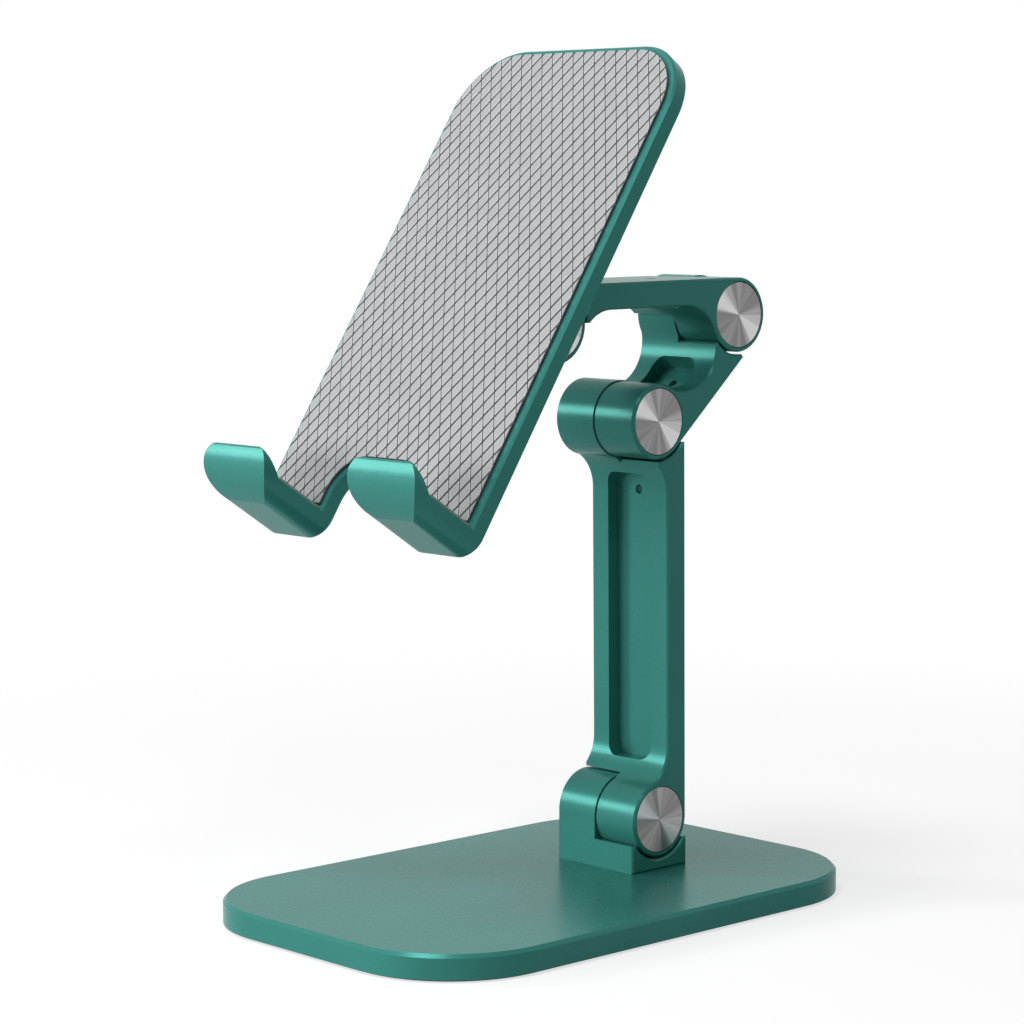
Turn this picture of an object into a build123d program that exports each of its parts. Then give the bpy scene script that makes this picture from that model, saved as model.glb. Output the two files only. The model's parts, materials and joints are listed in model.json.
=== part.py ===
from build123d import *
from math import cos, radians, sin, sqrt
import os

# A folding metal phone stand: a base, three links and a holder on four friction hinges.
# X runs along the hinges, -Y is the side the phone faces, Z is up.
# The origin is the centre of the base's underside. Sizes are in millimetres.

# Base
base_width = 91.0
base_length = 140.0
base_height = 6.1
base_corner_radius = 27.0
base_edge_chamfer = 0.8
base_pad_thickness = 1.0
base_pad_stands_out = 0.6
base_pad_inset = 1.6
hinge_behind_base_centre = 28.2

# Links
link_width = 25.0
knuckle_radius = 8.8
barrel_step = 0.3
link_front = 2.7
edge_chamfer = 0.4
lower_arm_length = 93.6
middle_link_length = 36.1
upper_arm_length = 59.6
arm_fillet_radius = 9.5
middle_link_fillet_radius = 10.6
pocket_width = 14.0
pocket_corner_radius = 3.2
pocket_depth = 3.3
pocket_to_hinge = 12.8
wire_hole_radius = 1.1
wire_hole_to_hinge = 17.0

# How each part leans from upright, forward being positive, in degrees
lower_arm_lean = 0.6
middle_link_lean = -48.5
upper_arm_lean = 90.5
holder_lean = 56.7

# Hinges
base_block_floor = 2.35
holder_bracket_floor = 3.35
running_gap = 0.35
saddle_horn_width = 0.95
friction_washer_thickness = 0.3
friction_washer_inset = 0.5
cap_rim = 1.0
cap_thickness = 1.2
cap_recess = 0.1
cap_edge_chamfer = 0.15
fit_clearance = 0.05
overcut = 1.0
bolt_end_gap = 0.2
behind_cap_gap = 0.7
bolt_radius = 2.5
bolt_head_radius = 4.7
bolt_head_thickness = 3.0
bolt_socket_across_flats = 4.0
bolt_socket_depth = 1.8
hardware_pocket_radius = 5.2
nut_across_flats = 8.0
nut_thickness = 4.0
spring_radius = 4.8
spring_sheet = 0.3
spring_cone_height = 0.2

# Countersunk screws that hold the base block and the holder bracket
screw_radius = 1.5
screw_head_radius = 3.0
screw_head_height = 1.6
screw_socket_across_flats = 2.0
screw_socket_depth = 1.0
screw_to_block_side = 4.0
screw_to_block_front = 3.2
screw_end_margin = 0.5

# Holder, its heights measured along the plate from hinge D
holder_width = 70.6
holder_top = 63.0
holder_bottom = -64.6
holder_thickness = 4.4
holder_corner_radius = 16.3
holder_edge_chamfer = 0.5
holder_back_chamfer = 0.5
holder_pad_thickness = 0.8
holder_pad_inset = 1.2
notch_half_width = 13.9
notch_top = -47.0
notch_corner_radius = 8.0
hook_shelf = -59.4
hook_corner_radius = 5.0
hook_trough_depth = 14.2
hook_flat_reach = 11.4
hook_reach = 20.5
hook_front_bulge = 1.95
hook_lip_top = -54.9
hook_lip_tip = 1.5
hook_lip_corner_radius = 4.3
hook_pad_thickness = 0.8
hook_pad_inset = 1.0
hook_pad_gap = 0.2

# Worked out from the sizes above
half_width = link_width / 2
half_washer = friction_washer_thickness / 2
barrel_radius = knuckle_radius + barrel_step
saddle_radius = barrel_radius + running_gap
saddle_reach = sqrt(saddle_radius ** 2 - (knuckle_radius - saddle_horn_width) ** 2)
base_top_to_hinge = saddle_radius + base_block_floor
holder_to_hinge = saddle_radius + holder_bracket_floor
friction_washer_radius = knuckle_radius - friction_washer_inset
cap_radius = knuckle_radius - cap_rim
screw_offset_x = half_width - screw_to_block_side
screw_offset_y = knuckle_radius - screw_to_block_front
hinge_a = (hinge_behind_base_centre, base_height + base_top_to_hinge)
seat_depth = cap_thickness + cap_recess
seat_floor = half_width - seat_depth
head_seat = seat_floor - bolt_head_thickness - behind_cap_gap
spring_stack = 2 * (spring_sheet + spring_cone_height)
nut_seat = seat_floor - nut_thickness - spring_stack - behind_cap_gap
holder_front = holder_to_hinge + holder_thickness
lip_front = holder_front + hook_reach


def next_hinge(start, length, lean):
    """Side-view position of the hinge at the far end of a link."""
    return (start[0] - length * sin(radians(lean)), start[1] + length * cos(radians(lean)))


hinge_b = next_hinge(hinge_a, lower_arm_length, lower_arm_lean)
hinge_c = next_hinge(hinge_b, middle_link_length, middle_link_lean)
hinge_d = next_hinge(hinge_c, upper_arm_length, upper_arm_lean)


def placed(shape, hinge, lean):
    """Carry a shape drawn upright around its own hinge to its place on the stand."""
    return Location((0, hinge[0], hinge[1])) * Rot(X=lean) * shape


def span(x_from, x_to, y_from, y_to, z_from, z_to):
    """A box between the given limits."""
    middle = ((x_from + x_to) / 2, (y_from + y_to) / 2, (z_from + z_to) / 2)
    return Location(middle) * Box(x_to - x_from, y_to - y_from, z_to - z_from)


def across(x_from, x_to, radius, height=0.0):
    """A cylinder along the hinge direction, its axis at the given height."""
    return Location(((x_from + x_to) / 2, 0, height)) * Rot(Y=90) * Cylinder(radius, x_to - x_from)


def along_x(profile, x_from, x_to):
    """A side-view sketch (drawn in Y and Z) made solid between two X positions."""
    return Location((x_from, 0, 0)) * extrude(Plane.YZ * profile, x_to - x_from)


def hexagon_across(x_from, x_to, across_flats):
    """A hexagonal bar along the hinge direction."""
    bar = extrude(Plane.YZ * RegularPolygon(across_flats / 2, 6, major_radius=False), x_to - x_from)
    return Location((x_from, 0, 0)) * bar


# ---- Hinge hardware, drawn around an axis through the origin along X ----

def right_hardware_hole(height=0.0):
    """Cap seat, bolt-head pocket and bore in a right-hand knuckle."""
    seat = across(seat_floor, half_width + overcut, cap_radius + fit_clearance, height)
    pocket = across(head_seat, half_width, hardware_pocket_radius, height)
    bore = across(-overcut, half_width, bolt_radius + fit_clearance, height)
    return seat + pocket + bore


def left_hardware_hole(height=0.0):
    """Cap seat, nut pocket and bore in a left-hand barrel."""
    seat = across(-half_width - overcut, -seat_floor, cap_radius + fit_clearance, height)
    pocket = across(-half_width, -nut_seat, hardware_pocket_radius, height)
    bore = across(-half_width, overcut, bolt_radius + fit_clearance, height)
    return seat + pocket + bore


def hinge_bolt():
    """Socket-head bolt: head in the right knuckle, end in the left barrel."""
    head = across(head_seat, head_seat + bolt_head_thickness, bolt_head_radius)
    shank = across(bolt_end_gap - seat_floor, head_seat, bolt_radius)
    top = head_seat + bolt_head_thickness
    socket = hexagon_across(top - bolt_socket_depth, top + overcut, bolt_socket_across_flats)
    return head + shank - socket


def lock_nut():
    """Hexagonal lock nut on the bolt's end."""
    start = -nut_seat - spring_stack - nut_thickness
    body = hexagon_across(start, start + nut_thickness, nut_across_flats)
    return body - across(start - overcut, start + nut_thickness + overcut, bolt_radius)


def disc_springs():
    """Two coned spring washers, cone against cone, between the barrel and the nut."""
    inner = bolt_radius + 2 * fit_clearance
    rise = spring_cone_height
    sheet = spring_sheet
    section = Polygon(
        (inner, 0), (spring_radius, rise), (spring_radius, rise + sheet), (inner, sheet), align=None
    )
    cone = revolve(Plane.XZ * section, Axis.Z)
    turned_cone = mirror(cone, Plane.XY.offset((rise + sheet) / 2))
    first = Location((-nut_seat, 0, 0)) * Rot(Y=-90) * turned_cone
    second = Location((-nut_seat - rise - sheet, 0, 0)) * Rot(Y=-90) * cone
    return Compound(children=[first, second])


def friction_washer():
    """Thin washer between the two halves of a hinge."""
    ring = across(-half_washer, half_washer, friction_washer_radius)
    return ring - across(-overcut, overcut, bolt_radius + fit_clearance)


def cap(side):
    """Turned metal disc that closes one end of a hinge; side is 1 for right, -1 for left."""
    disc = Cylinder(cap_radius, cap_thickness)
    disc = chamfer(disc.edges().sort_by(Axis.Z)[-1:], cap_edge_chamfer)
    return Location((side * (seat_floor + cap_thickness / 2), 0, 0)) * Rot(Y=side * 90) * disc


# ---- Links, drawn upright with their lower hinge at the origin and their front towards -Y ----

def link_profile(length, fillet_radius, front):
    """Side view of a link between its two hinge axes, without its knuckles."""
    centre_distance = knuckle_radius + fillet_radius
    centre_z = min(sqrt(centre_distance ** 2 - (front - fillet_radius) ** 2), length / 2)
    centre_y = -sqrt(centre_distance ** 2 - centre_z ** 2)
    share = knuckle_radius / centre_distance
    low_tangent = (centre_y * share, centre_z * share)
    high_tangent = (centre_y * share, length - centre_z * share)
    slab = Polygon(
        (0, 0), (knuckle_radius, 0), (knuckle_radius, length), (0, length), high_tangent, low_tangent,
        align=None,
    )
    hollow = Location((centre_y, centre_z)) * Circle(fillet_radius)
    if length > 2 * centre_z:
        hollow += Location((centre_y, length - centre_z)) * Circle(fillet_radius)
        hollow += Location((centre_y, length / 2)) * Rectangle(2 * fillet_radius, length - 2 * centre_z)
    return slab - hollow


def saddle_cut(side, height, away):
    """Room around the next part's knuckle in one half of a link.

    side is 1 for the right half and -1 for the left; away is 1 when the link lies above
    that hinge and -1 when it lies below.
    """
    outer = side * (half_width + overcut)
    inner = -side * half_washer
    x_from, x_to = min(outer, inner), max(outer, inner)
    round_room = across(x_from, x_to, saddle_radius, height)
    end_room_z = sorted((height - away * 2 * saddle_radius, height + away * saddle_reach))
    end_room = span(x_from, x_to, -2 * saddle_radius, 2 * saddle_radius, *end_room_z)
    front_room_z = sorted((height, height + away * 2 * saddle_radius))
    front_room = span(x_from, x_to, -2 * saddle_radius, 0, *front_room_z)
    return round_room + end_room + front_room


def half_hinge(side, radius):
    """The round half of a hinge on one side, its outer edge broken; side is 1 for right, -1 for left."""
    disc = Cylinder(radius, half_width - half_washer)
    disc = chamfer(disc.edges().sort_by(Axis.Z)[-1:], edge_chamfer)
    return Location((side * (half_width + half_washer) / 2, 0, 0)) * Rot(Y=side * 90) * disc


def link(length, fillet_radius, front):
    """One link: knuckle at the lower right, barrel at the upper left, pocket in the front."""
    body = along_x(link_profile(length, fillet_radius, front), -half_width, half_width)
    body -= saddle_cut(-1, 0, 1)
    body -= saddle_cut(1, length, -1)
    body = chamfer(body.faces().sort_by(Axis.X)[0].edges(), edge_chamfer)
    body = chamfer(body.faces().sort_by(Axis.X)[-1].edges(), edge_chamfer)
    body += half_hinge(1, knuckle_radius)
    body += Location((0, 0, length)) * half_hinge(-1, barrel_radius)
    body -= right_hardware_hole()
    body -= left_hardware_hole(length)
    pocket_length = length - 2 * pocket_to_hinge
    pocket_outline = RectangleRounded(pocket_width, pocket_length, pocket_corner_radius)
    pocket = extrude(Plane.XZ * pocket_outline, pocket_depth + 2 * saddle_radius)
    pocket_floor = link_front + pocket_depth
    return body - Location((0, pocket_floor, length / 2)) * pocket


def wire_hole(height):
    """Small hole from the pocket through the back of a link."""
    return Location((0, 0, height)) * Rot(X=90) * Cylinder(wire_hole_radius, 3 * knuckle_radius)


def lower_arm():
    """Long upright arm between hinges A and B."""
    body = link(lower_arm_length, arm_fillet_radius, link_front)
    return body - wire_hole(lower_arm_length - wire_hole_to_hinge)


def middle_link():
    """Short link between hinges B and C, hollowed by a single arc."""
    body = link(middle_link_length, middle_link_fillet_radius, knuckle_radius)
    return body - wire_hole(middle_link_length / 2)


def upper_arm():
    """Arm between hinge C and the holder's hinge D."""
    body = link(upper_arm_length, arm_fillet_radius, link_front)
    return body - wire_hole(wire_hole_to_hinge)


# ---- Blocks that carry a hinge off a flat, drawn with the hinge at the origin and the flat at +Z ----

def hinge_block(round_side, radius, height):
    """A block with a round knuckle on one half and a saddle on the other."""
    round_from, round_to = sorted((round_side * half_width, round_side * half_washer))
    cut_from, cut_to = sorted((-round_side * half_width, round_side * half_washer))
    body = span(round_from, round_to, -radius, radius, 0, height)
    body += across(round_from, round_to, radius)
    body += span(cut_from, cut_to, -radius, radius, saddle_reach, height)
    body -= across(cut_from, cut_to, saddle_radius)
    body = chamfer(body.faces().sort_by(Axis.X)[0].edges(), edge_chamfer)
    return chamfer(body.faces().sort_by(Axis.X)[-1].edges(), edge_chamfer)


def screw_blank(head_level):
    """A countersunk screw without its socket, pointing down from its head."""
    end_level = sqrt(saddle_radius ** 2 - (screw_offset_y - screw_radius) ** 2) + screw_end_margin
    length = head_level - end_level
    shank = Location((0, 0, end_level + length / 2)) * Cylinder(screw_radius, length)
    head = Cone(screw_radius, screw_head_radius, screw_head_height)
    return shank + Location((0, 0, head_level - screw_head_height / 2)) * head


def screw_places():
    """Where the four screws of a hinge block stand."""
    sides = (-1, 1)
    return [Location((x * screw_offset_x, y * screw_offset_y, 0)) for x in sides for y in sides]


def screw_holes(head_level):
    """The four countersunk holes through a flat into its hinge block."""
    blank = screw_blank(head_level)
    return [place * blank for place in screw_places()]


def screws(head_level):
    """The four countersunk socket screws."""
    outline = RegularPolygon(screw_socket_across_flats / 2, 6, major_radius=False)
    socket = extrude(outline, screw_socket_depth)
    screw = screw_blank(head_level) - Location((0, 0, head_level - screw_socket_depth)) * socket
    return Compound(children=[place * screw for place in screw_places()])


# ---- Base, drawn in place ----

def base_outline(inset):
    """The base's rounded rectangle, drawn smaller all round by the given inset."""
    return RectangleRounded(
        base_width - 2 * inset, base_length - 2 * inset, base_corner_radius - inset
    )


def base_block_screw_holes():
    """Screw holes of the base block, carried to the base."""
    head_level = base_top_to_hinge + base_height - base_pad_thickness
    return [placed(hole, hinge_a, 180) for hole in screw_holes(head_level)]


def base_plate():
    """The metal base with a shallow recess underneath for its pad."""
    plate = extrude(base_outline(0), base_height - base_pad_stands_out)
    body = Location((0, 0, base_pad_stands_out)) * plate
    body = chamfer(body.faces().sort_by(Axis.Z)[-1].edges(), base_edge_chamfer)
    body -= extrude(base_outline(base_pad_inset - running_gap), base_pad_thickness)
    for hole in base_block_screw_holes():
        body -= hole
    return body


def base_pad():
    """Silicone pad under the base."""
    return extrude(base_outline(base_pad_inset), base_pad_thickness)


def base_block():
    """Block on the base that carries hinge A: barrel on the left, saddle on the right."""
    body = Rot(X=180) * hinge_block(-1, barrel_radius, base_top_to_hinge)
    body = placed(body - left_hardware_hole(), hinge_a, 0)
    for hole in base_block_screw_holes():
        body -= hole
    return body


# ---- Holder, drawn around hinge D with the phone side towards +Z and the top towards +Y ----

def holder_outline():
    """Front view of the holder: round corners and a cable notch between two hooks."""
    height = holder_top - holder_bottom
    plate = Location((0, holder_bottom + height / 2)) * Rectangle(holder_width, height)
    plate = fillet(plate.vertices().group_by(Axis.Y)[-1], holder_corner_radius)
    notch_height = notch_top - holder_bottom + overcut
    notch_middle = (0, notch_top - notch_height / 2)
    notch = Location(notch_middle) * Rectangle(2 * notch_half_width, notch_height)
    notch = fillet(notch.vertices().group_by(Axis.Y)[-1], notch_corner_radius)
    outline = plate - notch
    return fillet(outline.vertices().group_by(Axis.Y)[0], hook_corner_radius)


def holder_side_view():
    """Side view of the holder: a flat plate, a shelf and a lip with a bulging front."""
    front_foot = (holder_bottom, holder_front + hook_flat_reach)
    front_top = (hook_lip_top - hook_lip_tip / 2, lip_front)
    rise = front_top[0] - front_foot[0]
    reach = front_top[1] - front_foot[1]
    slope_length = sqrt(rise ** 2 + reach ** 2)
    front_middle = (
        (front_foot[0] + front_top[0]) / 2 - hook_front_bulge * reach / slope_length,
        (front_foot[1] + front_top[1]) / 2 + hook_front_bulge * rise / slope_length,
    )
    lip_front_arc = ThreePointArc(front_foot, front_middle, front_top)
    tip_top = (hook_lip_top, lip_front - hook_lip_tip / 2)
    tip_inside = (hook_lip_top - hook_lip_tip / 2, lip_front - hook_lip_tip)
    lip_end_arc = ThreePointArc(front_top, tip_top, tip_inside)
    straight_sides = Polyline(
        tip_inside,
        (hook_shelf, holder_front + hook_trough_depth),
        (hook_shelf, holder_front),
        (holder_top, holder_front),
        (holder_top, holder_to_hinge),
        (holder_bottom, holder_to_hinge),
        front_foot,
    )
    return make_face(Wire([lip_front_arc, lip_end_arc, *straight_sides.edges()]))


def lip_corner_waste():
    """What is cut away to round the upper corners of both lips."""
    radius = hook_lip_corner_radius
    start = holder_front + hook_trough_depth / 2
    size = radius + overcut
    waste = []
    for edge, inward in ((holder_width / 2, -1), (notch_half_width, 1)):
        corner = Location((edge + inward * (radius - overcut) / 2, hook_lip_top - (radius - overcut) / 2))
        centre = Location((edge + inward * radius, hook_lip_top - radius))
        outline = corner * Rectangle(size, size) - centre * Circle(radius)
        right_waste = Location((0, 0, start)) * extrude(outline, lip_front - start + overcut)
        waste += [right_waste, mirror(right_waste, Plane.YZ)]
    return waste


def holder_plate():
    """The metal holder in one piece: plate, two hooks and screw holes for its bracket."""
    half = holder_width / 2
    body = along_x(holder_side_view(), -half, half)
    body &= extrude(holder_outline(), 2 * lip_front)
    front_edges = body.edges().filter_by_position(Axis.Z, holder_front, holder_front)
    front_edges = [edge for edge in front_edges if edge.center().Y > hook_shelf + holder_edge_chamfer]
    body = chamfer(front_edges, holder_edge_chamfer)
    body = chamfer(body.faces().sort_by(Axis.Z)[0].edges(), holder_back_chamfer)
    for waste in lip_corner_waste():
        body -= waste
    for hole in screw_holes(holder_front):
        body -= hole
    return body


def holder_pad():
    """Silicone pad on the face of the holder, above the pads of the hooks."""
    outline = offset(holder_outline(), -holder_pad_inset, kind=Kind.INTERSECTION)
    foot = hook_shelf + hook_pad_thickness + hook_pad_gap
    keep = Rectangle(holder_width, holder_top - foot, align=(Align.CENTER, Align.MIN))
    outline &= Location((0, foot)) * keep
    return Location((0, 0, holder_front)) * extrude(outline, holder_pad_thickness)


def hook_pads():
    """Two silicone strips on the shelves where the phone stands."""
    width = holder_width / 2 - notch_half_width - 2 * hook_pad_inset
    middle = (holder_width / 2 + notch_half_width) / 2
    end = holder_front + hook_trough_depth - hook_pad_inset
    top = hook_shelf + hook_pad_thickness
    strips = []
    for x in (-middle, middle):
        strips.append(span(x - width / 2, x + width / 2, hook_shelf, top, holder_front, end))
    return Compound(children=strips)


def holder_bracket():
    """Block behind the holder that carries hinge D: knuckle on the right, saddle on the left."""
    body = hinge_block(1, knuckle_radius, holder_to_hinge) - right_hardware_hole()
    for hole in screw_holes(holder_front):
        body -= hole
    return body


# ---- Assembly ----

def build():
    """Every piece by name, in its place on the stand."""
    base_screw_level = base_top_to_hinge + base_height - base_pad_thickness
    pieces = {
        "base_plate": base_plate(),
        "base_pad": base_pad(),
        "base_block": base_block(),
        "base_screws": placed(screws(base_screw_level), hinge_a, 180),
        "lower_arm": placed(lower_arm(), hinge_a, lower_arm_lean),
        "middle_link": placed(middle_link(), hinge_b, middle_link_lean),
        "upper_arm": placed(upper_arm(), hinge_c, upper_arm_lean),
        "holder_plate": placed(holder_plate(), hinge_d, holder_lean),
        "holder_pad": placed(holder_pad(), hinge_d, holder_lean),
        "hook_pads": placed(hook_pads(), hinge_d, holder_lean),
        "holder_bracket": placed(holder_bracket(), hinge_d, holder_lean),
        "holder_screws": placed(screws(holder_front), hinge_d, holder_lean),
    }
    hinges = {
        "a": (hinge_a, lower_arm_lean),
        "b": (hinge_b, middle_link_lean),
        "c": (hinge_c, upper_arm_lean),
        "d": (hinge_d, holder_lean),
    }
    for name, (hinge, lean) in hinges.items():
        pieces["hinge_bolt_" + name] = placed(hinge_bolt(), hinge, lean)
        pieces["lock_nut_" + name] = placed(lock_nut(), hinge, lean)
        pieces["disc_springs_" + name] = placed(disc_springs(), hinge, lean)
        pieces["friction_washer_" + name] = placed(friction_washer(), hinge, lean)
        pieces["right_cap_" + name] = placed(cap(1), hinge, lean)
        pieces["left_cap_" + name] = placed(cap(-1), hinge, lean)
    return pieces


os.makedirs("parts", exist_ok=True)
for node_name, piece in build().items():
    export_step(piece, "parts/" + node_name + ".step")
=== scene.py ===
import bpy
import json
import math
from mathutils import Matrix, Vector

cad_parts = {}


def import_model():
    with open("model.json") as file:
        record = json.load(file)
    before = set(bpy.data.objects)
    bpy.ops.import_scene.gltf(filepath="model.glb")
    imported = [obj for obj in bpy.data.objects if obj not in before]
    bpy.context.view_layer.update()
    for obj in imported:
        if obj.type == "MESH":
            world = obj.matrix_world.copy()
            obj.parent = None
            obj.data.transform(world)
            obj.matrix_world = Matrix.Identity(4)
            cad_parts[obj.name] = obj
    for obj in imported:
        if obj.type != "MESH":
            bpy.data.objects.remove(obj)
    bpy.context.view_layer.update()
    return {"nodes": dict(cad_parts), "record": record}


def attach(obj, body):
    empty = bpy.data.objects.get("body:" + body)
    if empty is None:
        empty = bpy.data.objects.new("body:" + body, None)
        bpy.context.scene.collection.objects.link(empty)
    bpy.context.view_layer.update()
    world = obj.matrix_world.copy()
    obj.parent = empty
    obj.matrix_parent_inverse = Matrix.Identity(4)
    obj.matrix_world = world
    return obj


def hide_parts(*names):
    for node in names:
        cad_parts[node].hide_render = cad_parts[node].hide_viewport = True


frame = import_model()
record = frame["record"]
nodes = frame["nodes"]
MM = 0.001


# ---- Small helpers for building materials ----

class Shader:
    """A new node material with its Principled shader, and short ways to add and join nodes."""

    def __init__(self, name):
        self.material = bpy.data.materials.new(name)
        self.material.use_nodes = True
        self.tree = self.material.node_tree
        self.tree.nodes.clear()
        self.output = self.tree.nodes.new("ShaderNodeOutputMaterial")
        self.main = self.tree.nodes.new("ShaderNodeBsdfPrincipled")
        self.join(self.main.outputs["BSDF"], self.output.inputs["Surface"])

    def join(self, source, target):
        self.tree.links.new(source, target)

    def node(self, kind, **settings):
        made = self.tree.nodes.new("ShaderNode" + kind)
        for key, value in settings.items():
            setattr(made, key, value)
        return made

    def value(self, name, number):
        self.main.inputs[name].default_value = number

    def coordinates(self, kind="Object"):
        return self.node("TexCoord").outputs[kind]

    def noise(self, scale, detail, roughness, source=None):
        made = self.node("TexNoise")
        made.inputs["Scale"].default_value = scale
        made.inputs["Detail"].default_value = detail
        made.inputs["Roughness"].default_value = roughness
        self.join(source or self.coordinates(), made.inputs["Vector"])
        return made.outputs["Fac"]

    def spread(self, source, low, high):
        """Carry a value of about 0.3 to 0.7 to the range low to high."""
        made = self.node("MapRange")
        made.inputs["From Min"].default_value = 0.3
        made.inputs["From Max"].default_value = 0.7
        made.inputs["To Min"].default_value = low
        made.inputs["To Max"].default_value = high
        self.join(source, made.inputs["Value"])
        return made.outputs["Result"]

    def colours(self, source, stops):
        """Colour ramp with (place, colour) stops."""
        made = self.node("ValToRGB")
        ramp = made.color_ramp
        while len(ramp.elements) < len(stops):
            ramp.elements.new(0.5)
        for element, (place, colour) in zip(ramp.elements, stops):
            element.position = place
            element.color = (*colour, 1.0)
        self.join(source, made.inputs["Fac"])
        return made.outputs["Color"]

    def bump(self, height, distance, strength):
        made = self.node("Bump")
        made.inputs["Distance"].default_value = distance
        made.inputs["Strength"].default_value = strength
        self.join(height, made.inputs["Height"])
        return made.outputs["Normal"]

    def multiply(self, first, second):
        """Product of two colours."""
        made = self.node("Mix", data_type="RGBA", blend_type="MULTIPLY")
        made.inputs["Factor"].default_value = 1.0
        self.join(first, made.inputs["A"])
        self.join(second, made.inputs["B"])
        return made.outputs["Result"]


def shade(colour, factor):
    return tuple(min(1.0, channel * factor) for channel in colour)


def grey(level):
    return (level, level, level)


# ---- Materials ----

# Colours are linear, as the shaders take them.
GREEN = (0.05, 0.268, 0.232)
CAP_GREY = (0.33, 0.325, 0.328)
PAD_GREY = (0.5, 0.51, 0.515)


def green_metal():
    """Satin anodised metal: fine blasted grain and slight cloudiness."""
    s = Shader("green_anodised")
    cloud = s.noise(scale=38.0, detail=4.0, roughness=0.55)
    s.join(
        s.colours(cloud, [(0.25, shade(GREEN, 0.93)), (0.75, shade(GREEN, 1.07))]),
        s.main.inputs["Base Color"],
    )
    s.value("Metallic", 0.18)
    s.value("Specular IOR Level", 0.12)
    s.value("Specular Tint", (0.4, 0.66, 0.64, 1.0))
    grain = s.noise(scale=5200.0, detail=2.0, roughness=0.6)
    s.join(s.spread(grain, 0.24, 0.33), s.main.inputs["Roughness"])
    s.join(s.bump(grain, distance=0.02 * MM, strength=0.35), s.main.inputs["Normal"])
    return s.material


# The tiles on the holder pad; heights are above the plate under it.
PAD_THICKNESS = 0.8 * MM
RIB_ACROSS = 3.41 * MM
RIB_ALONG = 6.07 * MM
RIB_TOP = 0.79 * MM
RIB_SHOULDER = 0.74 * MM
RIB_VALLEY = 0.3 * MM
RIB_UNDER = -0.4 * MM
# Share of a tile left beside the narrow grooves, then beside the wide ones.
TILE_TOP_SHARES = (0.78, 0.56)
TILE_SHOULDER_SHARES = (0.89, 0.73)
# Corners of a rhombic tile, in half steps from its middle.
TILE_CORNERS = ((1, 0), (0, 1), (-1, 0), (0, -1))
# How far the visible pad stays inside the outline of the plain one.
BORDER = 0.5 * MM

# Painted highlight on a cap: a bright streak painted into its colour. Its direction over the cap (model
# Y, then Z), how near to that direction it begins (1 is along it), and how much it adds.
PAINTED_STREAK_DIRECTION = (-0.77, 0.64, 0.0)
PAINTED_STREAK_FROM = 0.8
PAINTED_STREAK_LIFT = 0.3


def from_cap_centre(s):
    """Place on a cap from its centre: model Y, then Z, as shares of the cap's size."""
    centred = s.node("VectorMath", operation="SUBTRACT")
    centred.inputs[1].default_value = (0.5, 0.5, 0.5)
    s.join(s.coordinates("Generated"), centred.inputs[0])
    split = s.node("SeparateXYZ")
    s.join(centred.outputs[0], split.inputs[0])
    flat = s.node("CombineXYZ")
    s.join(split.outputs["Y"], flat.inputs["X"])
    s.join(split.outputs["Z"], flat.inputs["Y"])
    return flat.outputs[0]


def turned_rings(s, place):
    """Noise that changes only with the distance from the cap's centre."""
    radius = s.node("VectorMath", operation="LENGTH")
    s.join(place, radius.inputs[0])
    rings = s.node("TexNoise", noise_dimensions="1D")
    rings.inputs["Scale"].default_value = 240.0
    rings.inputs["Detail"].default_value = 2.0
    s.join(radius.outputs["Value"], rings.inputs["W"])
    return rings.outputs["Fac"]


def painted_sheen_fan(s, place):
    """Painted reflection: noise that changes only with the direction from the centre, with one painted
    bright streak, in place of the sheen of turned metal.
    """
    outward = s.node("VectorMath", operation="NORMALIZE")
    s.join(place, outward.inputs[0])
    painted_sectors = s.noise(scale=1.7, detail=3.0, roughness=0.6, source=outward.outputs[0])
    along = s.node("VectorMath", operation="DOT_PRODUCT")
    along.inputs[1].default_value = PAINTED_STREAK_DIRECTION
    s.join(outward.outputs[0], along.inputs[0])
    either_way = s.node("Math", operation="ABSOLUTE")
    s.join(along.outputs["Value"], either_way.inputs[0])
    painted_streak = s.node("MapRange", interpolation_type="SMOOTHSTEP")
    painted_streak.inputs["From Min"].default_value = PAINTED_STREAK_FROM
    painted_streak.inputs["To Max"].default_value = PAINTED_STREAK_LIFT
    s.join(either_way.outputs[0], painted_streak.inputs["Value"])
    both = s.node("Math", operation="ADD")
    s.join(painted_sectors, both.inputs[0])
    s.join(painted_streak.outputs["Result"], both.inputs[1])
    return both.outputs[0]


def cap_metal():
    """Turned metal: fine rings around the hinge axis, and a mild fan-shaped sheen painted into the
    colour as a painted highlight.
    """
    s = Shader("turned_cap")
    place = from_cap_centre(s)
    rings = turned_rings(s, place)
    # Painted highlight: the fan darkens the cap's colour to 0.7 between its sectors and brightens it up
    # to 2.5 times along them and the streak.
    painted_sheen_colour = s.colours(
        painted_sheen_fan(s, place),
        [
            (0.34, shade(CAP_GREY, 0.7)),
            (0.5, CAP_GREY),
            (0.62, shade(CAP_GREY, 1.5)),
            (0.8, shade(CAP_GREY, 2.5)),
        ],
    )
    ring_colour = s.colours(rings, [(0.3, grey(0.84)), (0.7, grey(1.0))])
    s.join(s.multiply(painted_sheen_colour, ring_colour), s.main.inputs["Base Color"])
    s.value("Metallic", 1.0)
    s.value("Anisotropic", 0.92)
    s.join(s.spread(rings, 0.46, 0.56), s.main.inputs["Roughness"])
    tangent = s.node("Tangent", direction_type="RADIAL", axis="X")
    s.join(tangent.outputs["Tangent"], s.main.inputs["Tangent"])
    s.join(s.bump(rings, distance=0.01 * MM, strength=0.3), s.main.inputs["Normal"])
    return s.material


def mount(name):
    return next(m for m in record["mounts"] if m["name"] == name)


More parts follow.
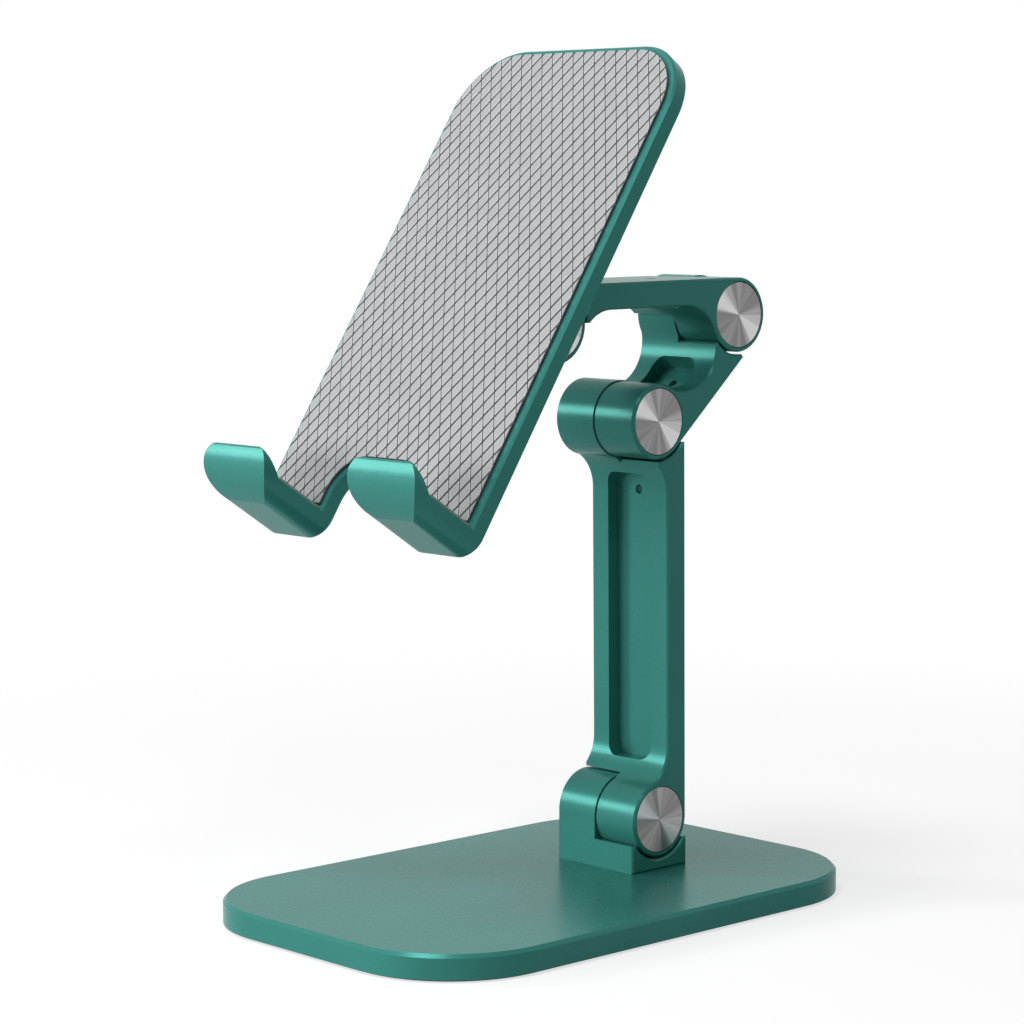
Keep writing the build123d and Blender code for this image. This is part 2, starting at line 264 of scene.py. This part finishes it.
def height_on_pad(s):
    """0 in the pad's grooves and 1 on its tiles, from the distance below the face a phone meets."""
    face = mount("phone_face")
    from_face = s.node("VectorMath", operation="SUBTRACT")
    from_face.inputs[1].default_value = face["pos_m"]
    s.join(s.coordinates(), from_face.inputs[0])
    depth = s.node("VectorMath", operation="DOT_PRODUCT")
    depth.inputs[1].default_value = face["axis"]
    s.join(from_face.outputs[0], depth.inputs[0])
    height = s.node("MapRange")
    height.inputs["From Min"].default_value = RIB_VALLEY - PAD_THICKNESS
    height.inputs["From Max"].default_value = RIB_TOP - PAD_THICKNESS
    s.join(depth.outputs["Value"], height.inputs["Value"])
    return height.outputs["Result"]


def silicone(name, colour, roughness, grooved=False):
    """Matt silicone rubber with a fine skin and a little dust in the colour; on the grooved pad,
    painted shade in the grooves and a painted highlight along the tile edges.
    """
    s = Shader(name)
    cloud = s.noise(scale=260.0, detail=4.0, roughness=0.6)
    tint = s.colours(cloud, [(0.3, shade(colour, 0.94)), (0.7, shade(colour, 1.04))])
    if grooved:
        # Painted shade and highlight: the grooves are painted dark as shade in the recesses, and a pale
        # line is painted along the tile shoulders as a highlight on their edges.
        groove_shade_and_edge_highlight = s.colours(
            height_on_pad(s),
            [
                (0.05, (0.1, 0.1, 0.11)),
                (0.72, grey(0.6)),
                (0.88, grey(1.85)),
                (0.985, grey(0.95)),
            ],
        )
        tint = s.multiply(tint, groove_shade_and_edge_highlight)
    s.join(tint, s.main.inputs["Base Color"])
    skin = s.noise(scale=9000.0, detail=2.0, roughness=0.5)
    s.join(s.spread(skin, roughness - 0.05, roughness + 0.05), s.main.inputs["Roughness"])
    s.join(s.bump(skin, distance=0.01 * MM, strength=0.3), s.main.inputs["Normal"])
    s.value("Specular IOR Level", 0.4)
    return s.material


def steel():
    """Plain zinc-plated steel for the fasteners inside the hinges."""
    s = Shader("plain_steel")
    cloud = s.noise(scale=900.0, detail=3.0, roughness=0.5)
    s.join(
        s.colours(cloud, [(0.3, (0.36, 0.36, 0.37)), (0.7, (0.46, 0.46, 0.46))]),
        s.main.inputs["Base Color"],
    )
    s.value("Metallic", 1.0)
    s.join(s.spread(cloud, 0.25, 0.4), s.main.inputs["Roughness"])
    return s.material


def washer_plastic():
    """Matt black plastic of the friction washers."""
    s = Shader("washer_black")
    cloud = s.noise(scale=700.0, detail=3.0, roughness=0.5)
    s.join(
        s.colours(cloud, [(0.3, (0.012, 0.013, 0.013)), (0.7, (0.022, 0.023, 0.023))]),
        s.main.inputs["Base Color"],
    )
    s.value("Roughness", 0.6)
    return s.material


materials = {
    "green_metal": green_metal(),
    "cap_metal": cap_metal(),
    "steel_hardware": steel(),
    "washer_plastic": washer_plastic(),
    "pad_silicone": silicone("pad_silicone", PAD_GREY, 0.55),
    "pad_grooved": silicone("pad_grooved", PAD_GREY, 0.5, grooved=True),
    "base_silicone": silicone("base_silicone", (0.02, 0.022, 0.022), 0.6),
}

for part in record["subparts"]:
    for material_slot in nodes[part["node"]].material_slots:
        material_slot.material = materials[part["material_slot"]]


# ---- The holder pad's ribbed relief ----

def holder_axes():
    """Matrix from the pad's own axes (across, up the holder, off its face) to the model."""
    face = mount("phone_face")
    out = Vector(face["axis"]).normalized()
    across = Vector((1.0, 0.0, 0.0))
    up = out.cross(across)
    matrix = Matrix((across, up, out)).transposed().to_4x4()
    matrix.translation = Vector(face["pos_m"]) - out * PAD_THICKNESS
    return matrix


def tile_corner(x, y, corner, shares):
    """Corner of a tile around (x, y), drawn in by its shares beside the two kinds of groove."""
    a, b = corner
    to_narrow = (a + b) * shares[0]
    to_wide = (a - b) * shares[1]
    across = (to_narrow + to_wide) / 2 * RIB_ACROSS / 2
    along = (to_narrow - to_wide) / 2 * RIB_ALONG / 2
    return x + across, y + along


def pairs_around(ring):
    """Each corner of a ring with the one after it."""
    return list(zip(ring, ring[1:] + ring[:1]))


def relief_sheet(half_width, low, high):
    """A closed sheet of rhombic tiles between a narrow and a wide family of V grooves."""
    points = []
    index = {}
    faces = []
    wall_below = {}

    def point(key, place):
        if key not in index:
            index[key] = len(points)
            points.append(place)
        return index[key]

    def lattice_ring(i, j, z, layer):
        return [
            point((layer, i + a, j + b), ((i + a) * RIB_ACROSS / 2, (j + b) * RIB_ALONG / 2, z))
            for a, b in TILE_CORNERS
        ]

    def tile_ring(i, j, z, layer, shares):
        x = i * RIB_ACROSS / 2
        y = j * RIB_ALONG / 2
        return [
            point((layer, i, j, corner), (*tile_corner(x, y, corner, shares), z))
            for corner in TILE_CORNERS
        ]

    def tile(i, j):
        valley = lattice_ring(i, j, RIB_VALLEY, "valley")
        under = lattice_ring(i, j, RIB_UNDER, "under")
        shoulder = tile_ring(i, j, RIB_SHOULDER, "shoulder", TILE_SHOULDER_SHARES)
        top = tile_ring(i, j, RIB_TOP, "top", TILE_TOP_SHARES)
        for outer, inner in ((valley, shoulder), (shoulder, top)):
            for (outer_a, outer_b), (inner_a, inner_b) in zip(pairs_around(outer), pairs_around(inner)):
                faces.append((outer_a, outer_b, inner_b, inner_a))
        faces.append(tuple(top))
        faces.append(tuple(reversed(under)))
        for (valley_a, valley_b), (under_a, under_b) in zip(pairs_around(valley), pairs_around(under)):
            walls = wall_below.setdefault(frozenset((valley_a, valley_b)), [])
            walls.append((under_a, under_b, valley_b, valley_a))

    columns = int(half_width / (RIB_ACROSS / 2)) + 2
    first_row = int(low / (RIB_ALONG / 2)) - 2
    last_row = int(high / (RIB_ALONG / 2)) + 2
    for i in range(-columns, columns + 1):
        for j in range(first_row, last_row + 1):
            if (i + j) % 2 == 0:
                tile(i, j)
    for walls in wall_below.values():
        at_the_rim = len(walls) == 1
        if at_the_rim:
            faces.append(walls[0])
    mesh = bpy.data.meshes.new("relief_sheet")
    mesh.from_pydata(points, [], faces)
    mesh.update()
    return bpy.data.objects.new("relief_sheet", mesh)


def ribbed_pad():
    """The pad on the holder: the CAD pad's outline filled with raised rhombic tiles."""
    pad = nodes["holder_pad"]
    axes = holder_axes()
    to_pad = axes.inverted()
    flat = [to_pad @ v.co for v in pad.data.vertices]
    half_width = max(abs(v.x) for v in flat)
    sheet = relief_sheet(half_width, min(v.y for v in flat), max(v.y for v in flat))
    sheet.data.transform(axes)
    half_length = max(abs(v.y) for v in flat)
    inset = Matrix.Diagonal((1 - BORDER / half_width, 1 - BORDER / half_length, 1, 1))
    outline = bpy.data.objects.new("pad_outline", pad.data.copy())
    outline.data.transform(axes @ inset @ to_pad)
    for made in (sheet, outline):
        bpy.context.collection.objects.link(made)
    clip = sheet.modifiers.new("clip", "BOOLEAN")
    clip.operation = "INTERSECT"
    clip.solver = "EXACT"
    clip.object = outline
    evaluated = sheet.evaluated_get(bpy.context.evaluated_depsgraph_get())
    mesh = bpy.data.meshes.new_from_object(evaluated)
    for made in (sheet, outline):
        bpy.data.objects.remove(made)
    mesh.name = "holder_pad_ribbed"
    mesh.materials.clear()
    mesh.materials.append(materials["pad_grooved"])
    for polygon in mesh.polygons:
        polygon.material_index = 0
        polygon.use_smooth = False
    piece = bpy.data.objects.new("holder_pad_ribbed", mesh)
    bpy.context.collection.objects.link(piece)
    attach(piece, "holder")
    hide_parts("holder_pad")


ribbed_pad()


# ---- Studio ----

# The floor's own colour, and the light it adds when seen, so that it looks white outside shadows.
FLOOR_GREY = 0.5
FLOOR_LIFT = 0.68
# From SHADOW_REACH to WHITE_FROM, in metres from the origin, the floor fades into plain white.
SHADOW_REACH = 0.16
WHITE_FROM = 0.42
FLOOR_SIZE = 30.0
WORLD_LEVEL = 0.1
# The lamps stand around this point.
MIDDLE = (0.0, 0.0, 0.1)
LAMP_DISTANCE = 1.5
CAMERA_PLACE = (0.49695, -0.47489, 0.16574)
CAMERA_TURN = math.radians(46.77)
CAMERA_DOWN = math.radians(6.16)
CAMERA_LENS = 106.3


def seen_directly(tree):
    """1 for rays that look at the background (camera, gloss, glass), 0 for rays that light."""
    path = tree.nodes.new("ShaderNodeLightPath")
    seen = path.outputs["Is Camera Ray"]
    for ray in ("Is Glossy Ray", "Is Transmission Ray"):
        either = tree.nodes.new("ShaderNodeMath")
        either.operation = "MAXIMUM"
        tree.links.new(seen, either.inputs[0])
        tree.links.new(path.outputs[ray], either.inputs[1])
        seen = either.outputs[0]
    return seen


def floor():
    """Pale floor that is seen as white, keeps the stand's shadow and has no horizon."""
    bpy.ops.mesh.primitive_plane_add(size=FLOOR_SIZE, location=(0, 0, 0))
    plane = bpy.context.object
    plane.name = "floor"
    s = Shader("floor_white")
    cloud = s.noise(scale=3.0, detail=2.0, roughness=0.5)
    s.join(
        s.colours(cloud, [(0.3, grey(FLOOR_GREY * 0.99)), (0.7, grey(FLOOR_GREY * 1.01))]),
        s.main.inputs["Base Color"],
    )
    s.value("Roughness", 0.9)
    s.value("Specular IOR Level", 0.0)
    seen = seen_directly(s.tree)
    lift = s.node("Math", operation="MULTIPLY")
    lift.inputs[1].default_value = FLOOR_LIFT
    s.join(seen, lift.inputs[0])
    s.value("Emission Color", (1.0, 1.0, 1.0, 1.0))
    s.join(lift.outputs[0], s.main.inputs["Emission Strength"])
    distance = s.node("VectorMath", operation="LENGTH")
    s.join(s.coordinates(), distance.inputs[0])
    away = s.node("MapRange", interpolation_type="SMOOTHSTEP")
    away.inputs["From Min"].default_value = SHADOW_REACH
    away.inputs["From Max"].default_value = WHITE_FROM
    s.join(distance.outputs["Value"], away.inputs["Value"])
    share = s.node("Math", operation="MULTIPLY")
    s.join(away.outputs["Result"], share.inputs[0])
    s.join(seen, share.inputs[1])
    white = s.node("Emission")
    mix = s.node("MixShader")
    s.join(share.outputs[0], mix.inputs[0])
    s.join(s.main.outputs["BSDF"], mix.inputs[1])
    s.join(white.outputs[0], mix.inputs[2])
    s.join(mix.outputs[0], s.output.inputs["Surface"])
    plane.data.materials.append(s.material)


def world():
    """White surroundings to look at and in reflections; a plain level for lighting."""
    surroundings = bpy.data.worlds.new("studio")
    surroundings.use_nodes = True
    tree = surroundings.node_tree
    tree.nodes.clear()
    output = tree.nodes.new("ShaderNodeOutputWorld")
    background = tree.nodes.new("ShaderNodeBackground")
    background.inputs["Color"].default_value = (1.0, 1.0, 1.0, 1.0)
    strength = tree.nodes.new("ShaderNodeMapRange")
    strength.inputs["To Min"].default_value = WORLD_LEVEL
    strength.inputs["To Max"].default_value = 1.0
    tree.links.new(seen_directly(tree), strength.inputs["Value"])
    tree.links.new(strength.outputs["Result"], background.inputs["Strength"])
    tree.links.new(background.outputs[0], output.inputs["Surface"])
    bpy.context.scene.world = surroundings


def facing(place, target):
    """Rotation that turns an object's -Z axis from its place to a target."""
    return (Vector(target) - Vector(place)).to_track_quat("-Z", "Y").to_euler()


def softbox(name, direction, size, level):
    """A soft lamp; a matt face turned to it renders at this share of its own colour."""
    toward = Vector(direction).normalized()
    place = Vector(MIDDLE) + toward * LAMP_DISTANCE
    lamp = bpy.data.lights.new(name, "AREA")
    lamp.shape = "RECTANGLE"
    lamp.size, lamp.size_y = size
    lamp.energy = level * math.pi ** 2 * LAMP_DISTANCE ** 2
    box = bpy.data.objects.new(name, lamp)
    bpy.context.collection.objects.link(box)
    box.location = place
    box.rotation_euler = facing(place, MIDDLE)


def camera():
    """Long lens at the right front, a little above the middle of the stand."""
    lens = bpy.data.cameras.new("camera")
    lens.lens = CAMERA_LENS
    lens.sensor_width = 36.0
    lens.clip_start = 0.01
    viewer = bpy.data.objects.new("camera", lens)
    bpy.context.collection.objects.link(viewer)
    viewer.location = CAMERA_PLACE
    viewer.rotation_euler = (math.pi / 2 - CAMERA_DOWN, 0.0, CAMERA_TURN)
    bpy.context.scene.camera = viewer


floor()
world()
softbox("top_front", direction=(0.02, -0.42, 0.9), size=(0.6, 0.4), level=0.42)
softbox("front", direction=(-0.3, -0.93, 0.08), size=(0.8, 0.4), level=0.4)
softbox("front_left", direction=(-0.72, -0.6, 0.27), size=(0.22, 0.42), level=0.28)
softbox("right_top", direction=(0.62, -0.3, 0.72), size=(0.2, 0.2), level=0.06)
camera()

scene = bpy.context.scene
scene.view_settings.view_transform = "Standard"
